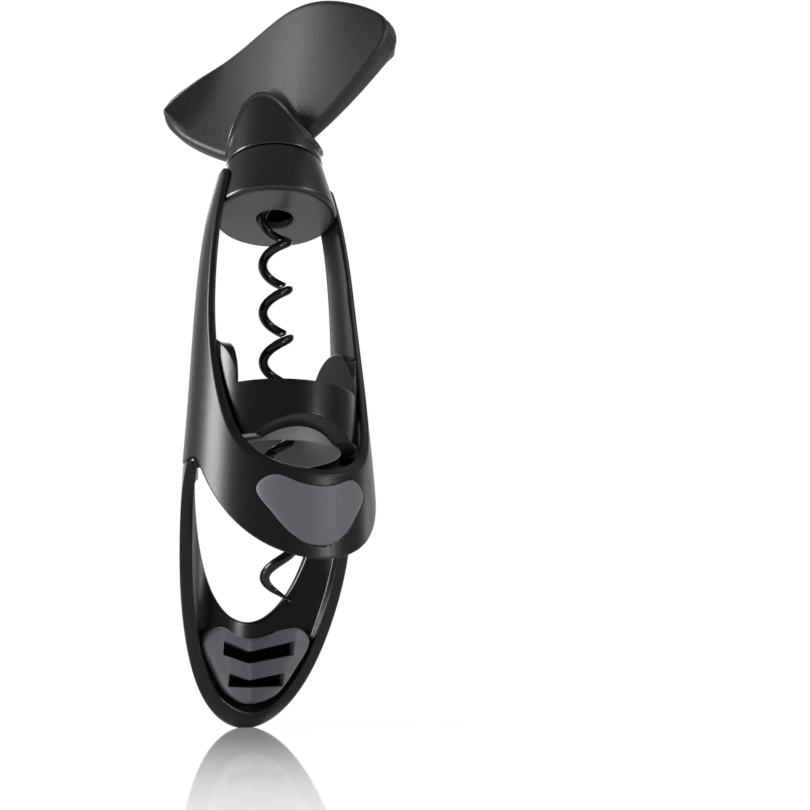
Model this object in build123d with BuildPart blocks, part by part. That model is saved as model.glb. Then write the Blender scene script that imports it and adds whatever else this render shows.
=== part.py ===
"""Self-pulling corkscrew with a two-leaf bottle grip, all sizes in millimetres.

The bottle rim stops on the plane z = 0 and the worm turns about the Z axis.
The front of the tool, with the short grip, looks along -Y.
"""
import os
from math import atan2, cos, degrees, hypot, pi, sin

from build123d import *

os.makedirs("parts", exist_ok=True)

# Worm
wire_radius = 1.25
coil_radius = 3.47
coil_pitch = 14.0
worm_reach = 46.7
point_turns = 0.42
point_radius = 0.22
worm_phase = 158.0

# Bottle collar and its rubber stop
bore_radius = 16.2
collar_wall = 4.6
collar_top = 3.7
collar_drop = 9.5
stop_opening = 12.8
seat_thickness = 1.5
arch_height = 4.8
arch_radius = 27.0
arch_slope = 0.42

# Pivot ears and pins
pivot_height = 5.0
ear_radius = 13.5
ear_thickness = 3.2
ear_inset = 2.2
pin_radius = 2.5
pin_play = 0.06
pin_depth = 3.6
boss_radius = 4.6
side_gap = 0.3

# Grips
collar_clearance = 1.7
shell_wall = 1.9
grip_top = 20.3
grip_bottom = 39.6
lever_length = 76.6
lever_wall = 2.0
pocket_depth = 0.6
trim = 3.0

# Hub, rails and cork chamber
chamber_height = 57.2
hub_radius = 17.05
hub_top_radius = 13.7
hub_height = 15.2
hub_wall = 2.2
worm_hole_radius = 5.1
base_thickness = 2.1
rail_width = 10.8
rail_back = 8.2
rail_wall = 1.7
rail_lap = 9.6
tenon_height = 3.6
waist_taper = 2.8
waist_height = 31.8
foot_height = 12.9
foot_gap = 0.6
crotch_offset = 5.1

# Soft inserts
insert_half_width = 13.3
insert_height = 15.8
insert_notch = 2.3
insert_lap = 0.9
insert_gap = 0.08
insert_back = 2.2
insert_slope = 0.36
slot_height = 2.6
slot_depth = 1.9
slot_sag = 2.4
pad_proud = 0.15
rear_insert_height = 18.6
rear_insert_half = 14.0
jaw_margin = 6.0
window_half = 17.4

# Turning handle
spigot_radius = 8.0
spigot_length = 7.4
spigot_play = 0.08
washer_thickness = 0.8
core_gap = 0.4
core_height = 17.7
core_draft = 0.12
arch_turn = 11.0
span = 75.2
blade_height = 48.7
blade_fall = 14.8
blade_lean = 4.1
wing_lift = 7.0
wing_slope = 0.56
wing_sweep = 0.009
blade_thickness = 3.8
tip_thickness = 7.6
handle_angle = -53.3

# Values worked out from the sizes above
collar_radius = bore_radius + collar_wall
ear_flat = collar_radius - ear_inset
grip_radius = collar_radius + collar_clearance + shell_wall
waist_radius = grip_radius - waist_taper
hub_top = chamber_height + hub_height
hub_draft = (hub_radius - hub_top_radius) / hub_height
rail_top = chamber_height + rail_lap
rail_half = rail_width / 2
shell_inside = grip_radius - shell_wall
lever_inside = grip_radius - lever_wall
pocket_radius = lever_inside + pocket_depth
washer_floor = hub_top + core_gap - 2 * side_gap - washer_thickness
washer_radius = hub_top_radius - 1.8
core_base = hub_top + core_gap
core_top = core_base + core_height
reach = 2 * grip_radius


# The shell that carries the hub, the rails and the short front grip
rail_end_radius = hub_radius - hub_draft * rail_lap
with BuildPart() as frame:
    with BuildSketch(Plane.XZ) as frame_wall:
        with BuildLine():
            frame_outside = Spline(
                (rail_end_radius + rail_wall, rail_top),
                (hub_radius + rail_wall, chamber_height),
                (waist_radius, waist_height),
                (grip_radius - 1.1, 0.0),
                (grip_radius, -grip_top),
                (grip_radius, -grip_bottom - trim),
            )
            frame_inside = Spline(
                (hub_radius, chamber_height),
                (waist_radius - shell_wall, waist_height),
                (grip_radius - 1.1 - shell_wall, 0.0),
                (shell_inside, -grip_top),
                (shell_inside, -grip_bottom - trim),
            )
            Line(frame_outside @ 1, frame_inside @ 1)
            Line(frame_inside @ 0, (rail_end_radius, rail_top))
            Line((rail_end_radius, rail_top), frame_outside @ 0)
        make_face()
    revolve(axis=Axis.Z)
    # Side outline: two rails that widen downwards, then the front grip between two slanting edges
    lip = grip_radius - rail_half
    edge_drop = chamber_height + grip_top
    under = grip_radius - crotch_offset
    under_drop = grip_bottom - foot_height
    with BuildSketch(Plane.YZ) as frame_side:
        with BuildLine():
            upper_edge = Spline(
                (-rail_half, chamber_height),
                (-rail_half - 0.026 * lip, chamber_height - 0.222 * edge_drop),
                (-rail_half - 0.063 * lip, chamber_height - 0.390 * edge_drop),
                (-rail_half - 0.190 * lip, chamber_height - 0.585 * edge_drop),
                (-rail_half - 0.416 * lip, chamber_height - 0.774 * edge_drop),
                (-rail_half - 0.742 * lip, chamber_height - 0.933 * edge_drop),
                (-grip_radius - 1.0, -grip_top - 0.3),
            )
            lower_edge = Spline(
                (-crotch_offset, -foot_height),
                (-crotch_offset - 0.275 * under, -foot_height - 0.312 * under_drop),
                (-crotch_offset - 0.829 * under, -foot_height - 0.864 * under_drop),
                (-grip_radius - 1.0, -grip_bottom - 1.1),
            )
            Polyline(upper_edge @ 1, (-reach, -grip_top), (-reach, -grip_bottom), lower_edge @ 1)
            foot_corner = RadiusArc((rail_back - 2.0, -foot_height), (rail_back, 2.0 - foot_height), 2.0)
            Line(lower_edge @ 0, foot_corner @ 0)
            rear_edge = Spline(
                (rail_half, chamber_height),
                (0.75 * rail_half + 0.25 * rail_back, 0.75 * chamber_height),
                (0.50 * rail_half + 0.50 * rail_back, 0.50 * chamber_height),
                (rail_back, pivot_height),
                tangents=((0.02, -1), (0, -1)),
            )
            Line(foot_corner @ 1, rear_edge @ 1)
            crown = ThreePointArc(
                (0.9 * rail_half, rail_top - 0.8 * rail_half),
                (0, rail_top),
                (-0.9 * rail_half, rail_top - 0.8 * rail_half),
            )
            Line(rear_edge @ 0, crown @ 0)
            Line(crown @ 1, upper_edge @ 0)
        make_face()
    extrude(amount=reach, both=True, mode=Mode.INTERSECT)
    # Pivot bosses, tenons for the hub and pin sockets on both rails
    for side in (-1, 1):
        inner_face = Plane(origin=(side * (ear_flat + side_gap), 0, 0), x_dir=(0, 1, 0), z_dir=(side, 0, 0))
        with BuildSketch(inner_face) as pivot_boss:
            with Locations((0, side * pivot_height)):
                Circle(boss_radius)
        extrude(amount=pin_depth - 0.4)
        with BuildSketch(inner_face) as pin_socket:
            with Locations((0, side * pivot_height)):
                Circle(pin_radius)
        extrude(amount=pin_depth, mode=Mode.SUBTRACT)
        tenon_start = hub_radius - hub_wall - hub_draft * (rail_lap - 3.0) - 0.3
        tenon_face = Plane(origin=(side * tenon_start, 0, 0), x_dir=(0, 1, 0), z_dir=(side, 0, 0))
        with BuildSketch(tenon_face) as hub_tenon:
            with Locations((0, side * (chamber_height + rail_lap / 2))):
                Rectangle(rail_half, tenon_height)
        extrude(amount=hub_wall + 1.2)

# Outline of a soft insert seen from the front: two upper lobes, a dip between them, a rounded lower end
def draw_shield(half_width, top, height):
    half = Spline(
        (0, top - insert_notch),
        (0.42 * half_width, top - 0.55 * insert_notch),
        (0.79 * half_width, top),
        (half_width, top - insert_notch),
        (0.83 * half_width, top - 0.48 * height),
        (0.45 * half_width, top - 0.86 * height),
        (0, top - height),
        tangents=((1, 0), (-1, 0)),
    )
    mirror(half, about=Plane.YZ)


# Two sagging grooves across a V-shaped jaw; facing is 1 for a jaw behind the axis and -1 for one before it
def jaw_grooves(facing, centre, half_width, top, height):
    with BuildPart() as grooves:
        for share in (0.36, 0.66):
            groove_half = (0.95 - 0.6 * share) * half_width
            upper = top - share * height + slot_height / 2
            sag = slot_sag * (1.5 - 1.4 * share)
            with BuildSketch(Plane.XZ) as groove_front:
                with BuildLine():
                    Polyline(
                        (-groove_half, upper),
                        (0, upper - sag),
                        (groove_half, upper),
                        (0.93 * groove_half, upper - slot_height),
                        (0, upper - sag - 0.7 * slot_height),
                        (-0.93 * groove_half, upper - slot_height),
                        close=True,
                    )
                make_face()
            extrude(amount=reach, both=True)
        with BuildSketch(Plane.XY.offset(top - height)) as groove_depth:
            with BuildLine():
                Polyline(
                    (0, facing * (centre + slot_depth)),
                    (reach, facing * (centre + slot_depth - insert_slope * reach)),
                    (reach, -facing * reach),
                    (-reach, -facing * reach),
                    (-reach, facing * (centre + slot_depth - insert_slope * reach)),
                    close=True,
                )
            make_face()
        extrude(amount=height, mode=Mode.INTERSECT)
    return grooves.part


pad_top = -grip_top - 0.2
with BuildSketch(Plane.XZ) as pad_outline:
    with BuildLine():
        draw_shield(insert_half_width, pad_top, insert_height)
    make_face()

# The pad fills a window in the front grip
with BuildPart() as front_pad:
    extrude(pad_outline.sketch, amount=reach)
    with BuildSketch(Plane.XZ) as pad_wall:
        with Locations((shell_inside + (shell_wall + pad_proud - insert_lap) / 2, pad_top - insert_height / 2)):
            Rectangle(shell_wall + pad_proud + insert_lap, 2 * insert_height)
    revolve(axis=Axis.Z, mode=Mode.INTERSECT)

with BuildPart() as frame_windowed:
    add(frame.part)
    extrude(pad_outline.sketch, amount=reach, mode=Mode.SUBTRACT)
frame_windowed.part.label = "frame"
export_step(frame_windowed.part, "parts/frame.step")

# A ribbed V jaw behind the pad laps over the edge of the window
front_jaw_centre = shell_inside - insert_back
front_grooves = jaw_grooves(-1, front_jaw_centre, insert_half_width, pad_top, insert_height)
with BuildPart() as front_insert:
    with BuildSketch(Plane.XY.offset(pad_top - insert_height - insert_lap)) as front_jaw_plan:
        with BuildLine():
            Polyline(
                (0, -front_jaw_centre),
                (reach, -front_jaw_centre + insert_slope * reach),
                (reach, -reach),
                (-reach, -reach),
                (-reach, -front_jaw_centre + insert_slope * reach),
                close=True,
            )
        make_face()
    extrude(amount=insert_height + 2 * insert_lap)
    with BuildSketch(Plane.XY.offset(-grip_bottom)) as front_jaw_seat:
        Circle(shell_inside - insert_gap)
    extrude(amount=grip_bottom, mode=Mode.INTERSECT)
    with BuildSketch(Plane.XZ) as front_jaw_outline:
        with BuildLine():
            draw_shield(insert_half_width + insert_lap, pad_top + insert_lap, insert_height + 2 * insert_lap)
        make_face()
    extrude(amount=reach, mode=Mode.INTERSECT)
    add(front_grooves, mode=Mode.SUBTRACT)
    add(front_pad.part)
front_insert.part.label = "front_insert"
export_step(front_insert.part, "parts/front_insert.step")

# Tapered hub, hollow, with a sleeve that guides the spigot of the handle
inside_step = chamber_height + base_thickness
roof = hub_top - hub_wall
with BuildPart() as hub:
    with BuildSketch(Plane.XZ) as hub_section:
        with BuildLine():
            Polyline(
                (hub_radius, chamber_height),
                (hub_top_radius, hub_top),
                (washer_radius + side_gap, hub_top),
                (washer_radius + side_gap, washer_floor),
                (spigot_radius + spigot_play, washer_floor),
                (spigot_radius + spigot_play, hub_top - spigot_length),
                (spigot_radius + hub_wall, hub_top - spigot_length),
                (spigot_radius + hub_wall, roof),
                (hub_top_radius + hub_draft * hub_wall - hub_wall, roof),
                (hub_radius - hub_draft * base_thickness - hub_wall, inside_step),
                (hub_radius - 1.4, inside_step),
                (hub_radius - 1.4, chamber_height),
                close=True,
            )
        make_face()
    revolve(axis=Axis.Z)
    rim = hub.edges().filter_by(GeomType.CIRCLE).sort_by(SortBy.RADIUS)[-1]
    fillet(rim, 0.8)
    add(frame.part, mode=Mode.SUBTRACT)
hub.part.label = "hub"
export_step(hub.part, "parts/hub.step")

# Disc that closes the hub, with the hole for the worm
with BuildPart() as hub_base:
    with BuildSketch(Plane.XY.offset(chamber_height)) as base_plan:
        Circle(hub_radius - 1.4)
        Circle(worm_hole_radius, mode=Mode.SUBTRACT)
    extrude(amount=base_thickness)
    fillet(hub_base.edges().group_by(Axis.Z)[0].sort_by(SortBy.RADIUS)[0], 0.5)
hub_base.part.label = "hub_base"
export_step(hub_base.part, "parts/hub_base.step")

# Collar for the bottle mouth with a pivot ear on each side
with BuildPart() as collar:
    with BuildSketch(Plane.XZ) as collar_section:
        with BuildLine():
            Polyline(
                (bore_radius, -collar_drop),
                (collar_radius, -collar_drop),
                (collar_radius, collar_top),
                (stop_opening, collar_top),
                (stop_opening, seat_thickness),
                (bore_radius, seat_thickness),
                close=True,
            )
        make_face()
    revolve(axis=Axis.Z)
    with BuildSketch(Plane.YZ) as ear_outline:
        with BuildLine():
            ear_left = Line((-ear_radius, seat_thickness), (-ear_radius, pivot_height))
            ear_round = RadiusArc(ear_left @ 1, (ear_radius, pivot_height), ear_radius)
            ear_right = Line(ear_round @ 1, (ear_radius, seat_thickness))
            Line(ear_right @ 1, ear_left @ 0)
        make_face()
    extrude(amount=ear_flat, both=True)
    with BuildSketch(Plane.XY.offset(collar_top)) as ear_gap:
        Rectangle(2 * (ear_flat - ear_thickness), reach)
    extrude(amount=reach, mode=Mode.SUBTRACT)
    with BuildSketch(Plane.XY.offset(-collar_drop)) as mouth:
        Circle(stop_opening)
    extrude(amount=reach, mode=Mode.SUBTRACT)
    with BuildSketch(Plane.XY.offset(-collar_drop)) as collar_limit:
        Circle(collar_radius)
        Rectangle(2 * ear_flat, reach, mode=Mode.INTERSECT)
    extrude(amount=reach, mode=Mode.INTERSECT)
    with BuildSketch(Plane.YZ) as pin_bore:
        with Locations((0, pivot_height)):
            Circle(pin_radius + pin_play)
    extrude(amount=reach, both=True, mode=Mode.SUBTRACT)
    # Shallow arch in the lower front edge, its roof falling towards the bore
    arch_start = 2 * arch_radius
    arch_rise = arch_height - collar_drop + arch_slope * (arch_start - collar_radius)
    with BuildSketch(Plane.XZ.offset(arch_start)) as arch:
        with Locations((0, arch_rise - arch_radius)):
            Circle(arch_radius)
    extrude(amount=arch_start, dir=(0, 1, -arch_slope), mode=Mode.SUBTRACT)
collar.part.label = "collar"
export_step(collar.part, "parts/collar.step")

# Rubber ring under the stop flange
with BuildPart() as seat_ring:
    with BuildSketch(Plane.XY) as seat_plan:
        Circle(bore_radius)
        Circle(stop_opening, mode=Mode.SUBTRACT)
    extrude(amount=seat_thickness)
seat_ring.part.label = "seat_ring"
export_step(seat_ring.part, "parts/seat_ring.step")

# Pins from the rails into the ears
pin_length = pin_depth + side_gap + ear_thickness
with BuildPart() as pivot_pin_left:
    with BuildSketch(Plane.YZ.offset(-ear_flat - side_gap - pin_depth)) as left_pin_end:
        with Locations((0, pivot_height)):
            Circle(pin_radius)
    extrude(amount=pin_length)
pivot_pin_left.part.label = "pivot_pin_left"
export_step(pivot_pin_left.part, "parts/pivot_pin_left.step")

with BuildPart() as pivot_pin_right:
    with BuildSketch(Plane.YZ.offset(ear_flat - ear_thickness)) as right_pin_end:
        with Locations((0, pivot_height)):
            Circle(pin_radius)
    extrude(amount=pin_length)
pivot_pin_right.part.label = "pivot_pin_right"
export_step(pivot_pin_right.part, "parts/pivot_pin_right.step")

# Long rear grip: a shell cut by one slanting rim, with two pillars up to the collar
shoulder = -foot_height - foot_gap
neck_radius = collar_radius + 0.6
insert_top = rear_insert_height - lever_length + jaw_margin
lever_rise = lever_length + shoulder
pocket_floor = insert_top - rear_insert_height - 0.6
with BuildPart() as rear_lever:
    with BuildSketch(Plane.XZ) as lever_wall_section:
        with BuildLine():
            Polyline(
                (grip_radius - 0.2, -lever_length - trim),
                (grip_radius, shoulder - 0.3 * lever_rise),
                (grip_radius, shoulder),
                (neck_radius, shoulder),
                (neck_radius, -collar_drop),
                (bore_radius + 0.6, -collar_drop),
                (bore_radius + 0.6, -collar_drop - 1.5),
                (lever_inside, shoulder - 3.0),
                (lever_inside, insert_top + 0.6),
                (pocket_radius, insert_top + 0.6),
                (pocket_radius, pocket_floor),
                (lever_inside - pocket_depth, pocket_floor - 2 * pocket_depth),
                (lever_inside - pocket_depth, -lever_length - trim),
                close=True,
            )
        make_face()
    revolve(axis=Axis.Z)
    with BuildSketch(Plane.YZ) as lever_side:
        with BuildLine():
            lever_rim = Spline(
                (-1.5, shoulder),
                (0.13 * grip_radius, shoulder - 0.11 * lever_rise),
                (0.31 * grip_radius, shoulder - 0.335 * lever_rise),
                (0.52 * grip_radius, shoulder - 0.58 * lever_rise),
                (0.828 * grip_radius, shoulder - 0.869 * lever_rise),
                (grip_radius + 1.0, -lever_length - 1.9),
            )
            Polyline(lever_rim @ 1, (reach, -lever_length), (reach, 0), (-1.5, 0), lever_rim @ 0)
        make_face()
    extrude(amount=reach, both=True, mode=Mode.INTERSECT)
    # Rear window, an ellipse cut off below the collar
    window_floor = insert_top + 2.0
    window_top = -collar_drop - 2.0
    with BuildSketch(Plane.XZ) as lever_window:
        with Locations((0, -foot_height)):
            Ellipse(window_half, -window_floor - foot_height)
        with Locations((0, window_top + reach)):
            Rectangle(2 * reach, 2 * reach, mode=Mode.SUBTRACT)
    extrude(amount=-reach, mode=Mode.SUBTRACT)
rear_lever.part.label = "rear_lever"
export_step(rear_lever.part, "parts/rear_lever.step")

# Ribbed jaw in the pocket of the rear grip
rear_jaw_centre = pocket_radius - insert_back - pocket_depth
rear_grooves = jaw_grooves(1, rear_jaw_centre, rear_insert_half, insert_top, rear_insert_height)
with BuildPart() as rear_insert:
    with BuildSketch(Plane.XY.offset(insert_top - rear_insert_height)) as rear_jaw_plan:
        with BuildLine():
            Polyline(
                (0, rear_jaw_centre),
                (reach, rear_jaw_centre - insert_slope * reach),
                (reach, reach),
                (-reach, reach),
                (-reach, rear_jaw_centre - insert_slope * reach),
                close=True,
            )
        make_face()
    extrude(amount=rear_insert_height)
    with BuildSketch(Plane.XY.offset(-lever_length)) as rear_jaw_seat:
        Circle(pocket_radius)
    extrude(amount=lever_length, mode=Mode.INTERSECT)
    with BuildSketch(Plane.XZ) as rear_outline:
        with BuildLine():
            draw_shield(rear_insert_half, insert_top, rear_insert_height)
        make_face()
    extrude(amount=-reach, mode=Mode.INTERSECT)
    add(rear_grooves, mode=Mode.SUBTRACT)
rear_insert.part.label = "rear_insert"
export_step(rear_insert.part, "parts/rear_insert.step")

# Worm: a pointed right-handed coil whose wire runs up to the axis and into the core
helix_low = -worm_reach + point_turns * coil_pitch
helix_high = chamber_height + base_thickness
blend_height = hub_top - spigot_length - helix_high
shank_top = core_base + 0.55 * core_height
with BuildPart() as worm_wire:
    with BuildLine() as coil_line:
        coil = Helix(coil_pitch, helix_high - helix_low, coil_radius, center=(0, 0, helix_low))
    with BuildSketch(Plane(coil @ 0, z_dir=coil % 0)) as wire_section:
        Circle(wire_radius)
    sweep(path=coil_line.wires()[0], is_frenet=True)
    # Point: the wire thins along the last part of a turn
    for step in range(6):
        share = step / 5
        turn = -2 * pi * point_turns * share
        centre = (coil_radius * cos(turn), coil_radius * sin(turn), helix_low - coil_pitch * point_turns * share)
        along = (-coil_radius * sin(turn), coil_radius * cos(turn), coil_pitch / (2 * pi))
        with BuildSketch(Plane(centre, z_dir=along)) as point_section:
            Circle(wire_radius + (point_radius - wire_radius) * share)
    loft()
    # Blend: the coil closes in on the axis inside the hub
    for step in range(7):
        share = step / 6
        turn = 2 * pi * (helix_high - helix_low + blend_height * share) / coil_pitch
        turn_rate = 2 * pi * blend_height / coil_pitch
        radius = coil_radius * (1 - share) ** 2 * (1 + 2 * share)
        closing = -6 * coil_radius * share * (1 - share)
        centre = (radius * cos(turn), radius * sin(turn), helix_high + blend_height * share)
        along = (
            closing * cos(turn) - radius * turn_rate * sin(turn),
            closing * sin(turn) + radius * turn_rate * cos(turn),
            blend_height,
        )
        with BuildSketch(Plane(centre, z_dir=along)) as blend_section:
            Circle(wire_radius)
    loft()
    # Straight shank with a bent end that cannot turn in the core
    with BuildSketch(Plane.XY.offset(helix_high + blend_height)) as shank_section:
        Circle(wire_radius)
    extrude(amount=shank_top - helix_high - blend_height)
    with BuildSketch(Plane.YZ.offset(-wire_radius)) as bend_section:
        with Locations((0, shank_top - wire_radius)):
            Circle(wire_radius)
    extrude(amount=5 * wire_radius)

with BuildPart() as worm:
    add(worm_wire.part.rotate(Axis.Z, worm_phase))
worm.part.label = "worm"
export_step(worm.part, "parts/worm.step")

# Core of the handle: a cone cut to an arch, turned a little from the blade, with a spigot that runs in the hub
with BuildPart() as core_block:
    with BuildSketch(Plane.XZ) as core_section:
        with BuildLine():
            Polyline(
                (0, core_base),
                (hub_top_radius, core_base),
                (hub_top_radius - core_draft * core_height, core_top),
                (0, core_top),
                close=True,
            )
        make_face()
    revolve(axis=Axis.Z)
    with BuildSketch(Plane.XZ) as core_arch:
        with BuildLine():
            arch_right = Spline(
                (0, core_top),
                (0.336 * hub_top_radius, core_top - 0.13 * core_height),
                (0.686 * hub_top_radius, core_base + 0.48 * core_height),
                (1.02 * hub_top_radius, core_base + 0.20 * core_height),
                tangents=((1, 0), (1, -0.3)),
            )
            mirror(arch_right, about=Plane.YZ)
            Polyline(
                arch_right @ 1,
                (1.02 * hub_top_radius, core_base),
                (-1.02 * hub_top_radius, core_base),
                (-1.02 * hub_top_radius, core_base + 0.20 * core_height),
            )
        make_face()
    extrude(amount=reach, both=True, mode=Mode.INTERSECT)
    with BuildSketch(Plane.XY.offset(hub_top - spigot_length)) as spigot_section:
        Circle(spigot_radius)
    extrude(amount=core_base - hub_top + spigot_length)

with BuildPart() as handle_core:
    add(core_block.part.rotate(Axis.Z, handle_angle + arch_turn))
    add(worm.part, mode=Mode.SUBTRACT)
handle_core.part.label = "handle_core"
export_step(handle_core.part, "parts/handle_core.step")

# Ring that carries the pull between the turning handle and the hub
with BuildPart() as thrust_washer:
    with BuildSketch(Plane.XY.offset(washer_floor + side_gap)) as washer_plan:
        Circle(washer_radius)
        Circle(spigot_radius + spigot_play, mode=Mode.SUBTRACT)
    extrude(amount=washer_thickness)
thrust_washer.part.label = "thrust_washer"
export_step(thrust_washer.part, "parts/thrust_washer.step")

# Blade: the upper edge leans one way on one wing and the other way on the other
tip = span / 2
blade_top = core_base + blade_height
wing_low = core_base + wing_lift
stations = (0.0, 0.11, 0.23, 0.36, 0.48, 0.60, 0.72, 0.84, 0.92, 0.97, 0.99)
with BuildPart() as blade_block:
    for station in [-share for share in stations[:0:-1]] + list(stations):
        share = abs(station)
        along_wing = max(share * tip - hub_top_radius, -4.0)
        low = wing_low + wing_slope * along_wing + wing_sweep * along_wing ** 2
        high = blade_top - blade_fall * share ** 2.1
        thick = blade_thickness + (tip_thickness - blade_thickness) * share ** 1.3
        blunt = (1.0 - share ** 24) ** 0.5
        length = max((high - low) * blunt, 0.84 * thick)
        lean = blade_lean * sin(pi * station)
        with BuildSketch(Plane.YZ.offset(station * tip)) as wing_section:
            with Locations((-lean / 2, (high + low) / 2)):
                RectangleRounded(thick, hypot(length, lean), 0.4 * thick, rotation=degrees(atan2(lean, length)))
    loft()

with BuildPart() as handle_blade:
    add(blade_block.part.rotate(Axis.Z, handle_angle))
    add(core_block.part.rotate(Axis.Z, handle_angle + arch_turn), mode=Mode.SUBTRACT)
handle_blade.part.label = "handle_blade"
export_step(handle_blade.part, "parts/handle_blade.step")
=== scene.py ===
"""Looks of the corkscrew: smooth moulded shells, a wound worm, soft grey pads, and a pale studio."""

import bmesh
import bpy
import numpy as np
from mathutils import Matrix, Vector


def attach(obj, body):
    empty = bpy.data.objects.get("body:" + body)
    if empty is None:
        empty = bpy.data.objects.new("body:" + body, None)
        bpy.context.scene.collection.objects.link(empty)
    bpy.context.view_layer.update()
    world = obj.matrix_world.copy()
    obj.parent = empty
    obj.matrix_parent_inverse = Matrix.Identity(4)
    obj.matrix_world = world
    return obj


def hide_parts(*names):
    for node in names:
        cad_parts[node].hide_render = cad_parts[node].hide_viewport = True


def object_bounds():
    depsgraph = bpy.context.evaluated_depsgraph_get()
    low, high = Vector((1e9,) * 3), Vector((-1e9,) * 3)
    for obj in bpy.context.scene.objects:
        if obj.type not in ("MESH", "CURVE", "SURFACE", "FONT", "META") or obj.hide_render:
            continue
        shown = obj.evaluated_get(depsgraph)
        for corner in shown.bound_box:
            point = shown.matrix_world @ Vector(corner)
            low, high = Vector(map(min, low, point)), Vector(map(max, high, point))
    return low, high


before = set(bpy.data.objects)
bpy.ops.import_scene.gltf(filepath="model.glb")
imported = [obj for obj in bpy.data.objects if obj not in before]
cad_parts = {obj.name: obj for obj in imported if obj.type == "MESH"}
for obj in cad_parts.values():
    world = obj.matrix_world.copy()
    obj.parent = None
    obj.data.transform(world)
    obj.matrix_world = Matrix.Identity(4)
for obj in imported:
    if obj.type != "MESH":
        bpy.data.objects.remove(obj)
cad_low, cad_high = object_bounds()

MM = 0.001
FULL_TURN = 2.0 * np.pi
QUARTER_TURN = np.pi / 2
FRONT, REAR = -1.0, 1.0


# Materials

moulded_grain = 1400.0
blade_grain = 1500.0
rubber_grain = 1800.0
fine_grain = 3000.0
grain_detail = 2.0
grain_depth = 0.05 * MM
drawn_depth = 0.02 * MM
soft_strength = 0.2
edge_samples = 8
black_mirror = 0.26
rubber_mirror, rubber_roughness, rubber_gloss = 0.3, 0.5, (0.44, 0.58)
steel_mirror, steel_roughness, steel_gloss = 0.5, 0.3, (0.25, 0.36)
moulded_black = (0.0028, 0.003, 0.0034)
deep_black = (0.0026, 0.0028, 0.0032)
# Black of the lever seen in the jaw's slots, made a little darker still as painted shade
slot_black_and_shade = (0.002, 0.002, 0.0022)
blade_black = (0.0055, 0.0057, 0.006)


def map_range(tree, value, source, target, smooth=False):
    """Carry a socket's value from one range to another, evenly or with level ends; returns a socket."""
    spread = tree.nodes.new("ShaderNodeMapRange")
    if smooth:
        spread.interpolation_type = "SMOOTHSTEP"
    spread.inputs["From Min"].default_value, spread.inputs["From Max"].default_value = source
    spread.inputs["To Min"].default_value, spread.inputs["To Max"].default_value = target
    tree.links.new(value, spread.inputs["Value"])
    return spread.outputs["Result"]


def finish_material(name, colour, roughness, mirror, coat=0.0, coat_roughness=0.2, metal=0.0):
    """A principled finish with constant sockets; returns the material, its tree and its shader node."""
    material = bpy.data.materials.new(name)
    material.use_nodes = True
    shader = material.node_tree.nodes["Principled BSDF"]
    shader.inputs["Base Color"].default_value = (*colour, 1.0)
    shader.inputs["Roughness"].default_value = roughness
    shader.inputs["Specular IOR Level"].default_value = mirror
    shader.inputs["Coat Weight"].default_value = coat
    shader.inputs["Coat Roughness"].default_value = coat_roughness
    shader.inputs["Metallic"].default_value = metal
    return material, material.node_tree, shader


def add_grain(tree, shader, scale, depth, strength, edge=0.0):
    """Fine moulded grain: noise on object coordinates drives a shallow bump.

    Where an edge radius in millimetres is given, the bump lies over edges that are softened by it.
    """
    place = tree.nodes.new("ShaderNodeTexCoord")
    noise = tree.nodes.new("ShaderNodeTexNoise")
    noise.inputs["Scale"].default_value = scale
    noise.inputs["Detail"].default_value = grain_detail
    bump = tree.nodes.new("ShaderNodeBump")
    bump.inputs["Strength"].default_value = strength
    bump.inputs["Distance"].default_value = depth
    tree.links.new(place.outputs["Object"], noise.inputs["Vector"])
    tree.links.new(noise.outputs["Fac"], bump.inputs["Height"])
    tree.links.new(bump.outputs["Normal"], shader.inputs["Normal"])
    if edge:
        soften = tree.nodes.new("ShaderNodeBevel")
        soften.samples = edge_samples
        soften.inputs["Radius"].default_value = edge * MM
        tree.links.new(soften.outputs["Normal"], bump.inputs["Normal"])
    return noise


def vary_gloss(tree, shader, noise, gloss):
    """The same grain makes the gloss uneven, between two roughness levels."""
    middle_of_noise = (0.3, 0.7)
    uneven = map_range(tree, noise.outputs["Fac"], middle_of_noise, gloss)
    tree.links.new(uneven, shader.inputs["Roughness"])


def satin_black(name, colour, gloss, strength, grain=moulded_grain, edge=0.0, mirror=black_mirror):
    """Moulded satin black: grain, uneven gloss and a weak mirror."""
    material, tree, shader = finish_material(name, colour, np.mean(gloss), mirror)
    noise = add_grain(tree, shader, grain, grain_depth, strength, edge)
    vary_gloss(tree, shader, noise, gloss)
    return material


def soft_grey(name, colour, edge=0.0):
    """Soft moulded rubber: matt grey with a fine grain."""
    material, tree, shader = finish_material(name, colour, rubber_roughness, rubber_mirror)
    noise = add_grain(tree, shader, rubber_grain, grain_depth, soft_strength, edge)
    vary_gloss(tree, shader, noise, rubber_gloss)
    return material


def black_slots_with_painted_shade(material):
    """The jaw's slots are open to the black lever behind.

    How far a point lies in a slot is kept on the mesh, and turns the grey to a dull black. This is partly
    the black lever seen through and partly painted shade: the mirror is taken away, and the slot walls are
    darkened too.
    """
    tree = material.node_tree
    shader = tree.nodes["Principled BSDF"]
    inside = tree.nodes.new("ShaderNodeAttribute")
    inside.attribute_name = "slot_depth"
    mix = tree.nodes.new("ShaderNodeMix")
    mix.data_type = "RGBA"
    mix.inputs["A"].default_value = shader.inputs["Base Color"].default_value
    mix.inputs["B"].default_value = (*slot_black_and_shade, 1.0)
    tree.links.new(inside.outputs["Fac"], mix.inputs["Factor"])
    tree.links.new(mix.outputs["Result"], shader.inputs["Base Color"])
    # Painted shade: the mirror fades out towards the bottom of the slots
    shaded_mirror = map_range(tree, inside.outputs["Fac"], (0.0, 1.0), (rubber_mirror, 0.0))
    tree.links.new(shaded_mirror, shader.inputs["Specular IOR Level"])


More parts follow.
